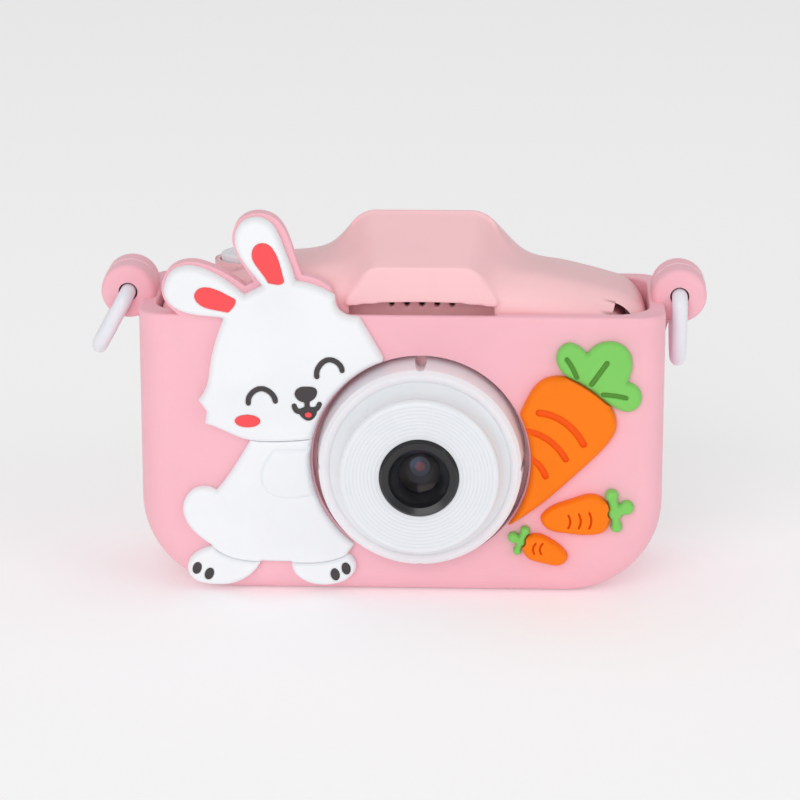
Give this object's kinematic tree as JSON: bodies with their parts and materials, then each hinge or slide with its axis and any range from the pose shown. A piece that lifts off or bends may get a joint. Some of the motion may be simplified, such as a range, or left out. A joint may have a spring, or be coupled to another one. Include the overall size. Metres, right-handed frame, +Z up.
{
  "type": "kids digital camera",
  "caption": "Small digital camera in a soft sleeve with a raised rabbit and carrots, a stepped lens, a rear screen with push keys, and swinging strap rings.",
  "frame": {"origin": "centre of the sleeve's flat base, midway across its width and depth", "axes": "+X to the right seen from the front, +Y to the back so the lens looks along -Y, +Z up"},
  "size_m": [0.1069, 0.042, 0.0677],
  "materials": {
    "pink_silicone": "soft matte silicone",
    "pink_case": "satin moulded plastic",
    "white_plastic": "soft gloss",
    "black_plastic": "gloss",
    "matte_black": "matte",
    "dark_red": "gloss",
    "optical_glass": "coated",
    "screen_window": "polished",
    "display": "gloss",
    "steel": "plain",
    "circuit_green": "solder mask",
    "cell_wrap": "foil pouch",
    "rabbit_white": "soft matte silicone",
    "inlay_red": "soft matte silicone",
    "inlay_black": "soft matte silicone",
    "carrot_orange": "soft matte silicone",
    "groove_orange": "soft matte silicone",
    "leaf_green": "soft matte silicone",
    "vein_green": "soft matte silicone"
  },
  "bodies": {
    "camera": {"sleeve": "pink_silicone", "front_shell": "pink_case", "rear_shell": "pink_case", "shell_screws": "steel", "lens_ring": "white_plastic", "lens_barrel": "white_plastic", "lens_hood": "black_plastic", "lens_glass": "optical_glass", "lens_iris": "dark_red", "camera_module": "matte_black", "rear_lens_ring": "white_plastic", "rear_lens_glass": "optical_glass", "rear_camera": "matte_black", "shutter_board": "circuit_green", "display_window": "screen_window", "display_panel": "display", "main_board": "circuit_green", "board_screws": "steel", "tact_switches": "matte_black", "battery": "cell_wrap", "speaker": "matte_black", "usb_socket": "steel", "card_socket": "steel", "rabbit_head": "rabbit_white", "rabbit_body": "rabbit_white", "rabbit_arm": "rabbit_white", "rabbit_feet": "rabbit_white", "ear_inlays": "inlay_red", "rabbit_eyes": "inlay_black", "rabbit_muzzle": "inlay_black", "rabbit_tongue": "inlay_red", "rabbit_cheek": "inlay_red", "toe_pads": "inlay_red", "big_carrot": "carrot_orange", "medium_carrot": "carrot_orange", "small_carrot": "carrot_orange", "carrot_grooves": "groove_orange", "big_leaf": "leaf_green", "leaf_veins": "vein_green", "medium_leaf": "leaf_green", "small_leaf": "leaf_green"},
    "ring_left": {"ring_left": "white_plastic"},
    "ring_right": {"ring_right": "white_plastic"},
    "shutter": {"shutter_button": "white_plastic"},
    "card": {"memory_card": "matte_black"},
    "up": {"up_key": "white_plastic"},
    "down": {"down_key": "white_plastic"},
    "left": {"left_key": "white_plastic"},
    "right": {"right_key": "white_plastic"},
    "ok": {"ok_key": "white_plastic"},
    "photo_video": {"photo_video_key": "white_plastic"},
    "power": {"power_key": "white_plastic"},
    "album": {"album_key": "white_plastic"}
  },
  "joints": [
    {"name": "ring_right_swing", "type": "hinge", "parent": "camera", "child": "ring_right", "pos_m": [0.0476, 0, 0.051], "axis": [0, -1, 0], "range_deg": [-4, 235]},
    {"name": "ring_left_swing", "type": "hinge", "parent": "camera", "child": "ring_left", "pos_m": [-0.0476, 0, 0.051], "axis": [0, 1, 0], "range_deg": [-32, 207]},
    {"name": "shutter_press", "type": "slide", "parent": "camera", "child": "shutter", "axis": [0, 0, -1], "range_m": [0, 0.0008], "stiffness_N_per_m": 800},
    {"name": "card_slide", "type": "slide", "parent": "camera", "child": "card", "axis": [0, 0, -1], "range_m": [0, 0.012]},
    {"name": "up_press", "type": "slide", "parent": "camera", "child": "up", "axis": [0, -1, 0], "range_m": [0, 0.0005], "stiffness_N_per_m": 1200},
    {"name": "down_press", "type": "slide", "parent": "camera", "child": "down", "axis": [0, -1, 0], "range_m": [0, 0.0005], "stiffness_N_per_m": 1200},
    {"name": "left_press", "type": "slide", "parent": "camera", "child": "left", "axis": [0, -1, 0], "range_m": [0, 0.0005], "stiffness_N_per_m": 1200},
    {"name": "right_press", "type": "slide", "parent": "camera", "child": "right", "axis": [0, -1, 0], "range_m": [0, 0.0005], "stiffness_N_per_m": 1200},
    {"name": "ok_press", "type": "slide", "parent": "camera", "child": "ok", "axis": [0, -1, 0], "range_m": [0, 0.0005], "stiffness_N_per_m": 1200},
    {"name": "photo_video_press", "type": "slide", "parent": "camera", "child": "photo_video", "axis": [0, -1, 0], "range_m": [0, 0.0005], "stiffness_N_per_m": 1200},
    {"name": "power_press", "type": "slide", "parent": "camera", "child": "power", "axis": [0, -1, 0], "range_m": [0, 0.0005], "stiffness_N_per_m": 1200},
    {"name": "album_press", "type": "slide", "parent": "camera", "child": "album", "axis": [0, -1, 0], "range_m": [0, 0.0005], "stiffness_N_per_m": 1200}
  ]
}
